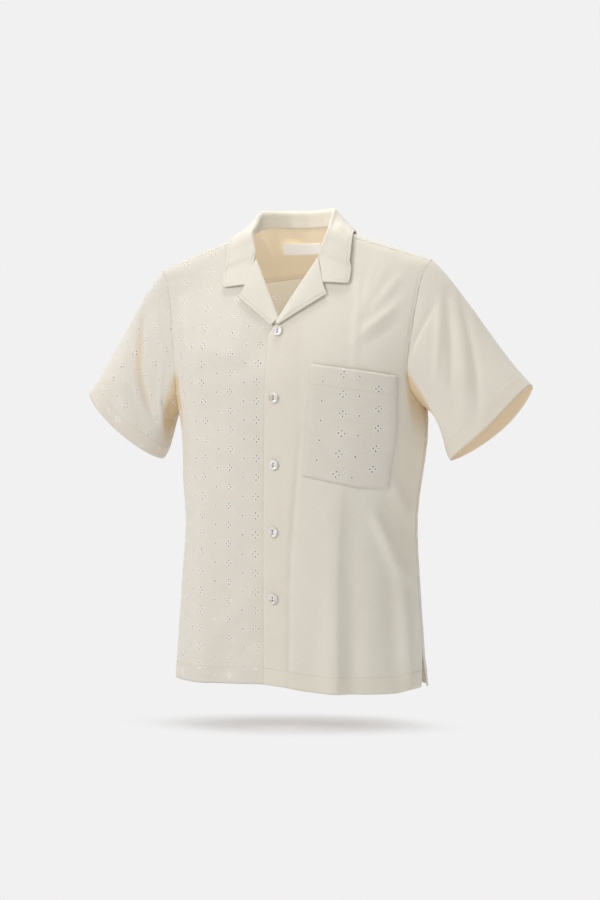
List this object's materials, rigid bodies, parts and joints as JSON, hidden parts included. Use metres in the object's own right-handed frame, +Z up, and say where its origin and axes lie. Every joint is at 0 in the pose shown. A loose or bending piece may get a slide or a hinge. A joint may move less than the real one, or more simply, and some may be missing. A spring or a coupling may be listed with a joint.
{
  "type": "short-sleeved camp-collar shirt",
  "caption": "Short-sleeved button-front camp-collar shirt in plain and eyelet cloth with a chest pocket, filled out as if worn and hollow inside.",
  "frame": {"origin": "the mount shoulders: midway between the two shoulder tips in x and y, at neck-point height", "axes": "+X towards the wearer's left, -Y to the wearer's front, +Z up"},
  "size_m": [0.7538, 0.2439, 0.7573],
  "materials": {
    "plain_cloth": "fine plain weave, matt cream",
    "eyelet_cloth": "fine plain weave with embroidered eyelets, matt off-white",
    "label_cloth": "smooth woven tape, blank",
    "pearl": "polished shell, pale with grey and tan clouds"
  },
  "bodies": {
    "root": {"front_left": "plain_cloth", "front_right": "eyelet_cloth", "back": "eyelet_cloth", "yoke": "plain_cloth", "sleeve_left": "plain_cloth", "sleeve_right": "eyelet_cloth", "collar": "plain_cloth", "facing_left": "plain_cloth", "facing_right": "plain_cloth", "pocket": "eyelet_cloth", "label": "label_cloth", "button_1": "pearl", "button_2": "pearl", "button_3": "pearl", "button_4": "pearl", "button_5": "pearl"}
  },
  "joints": []
}
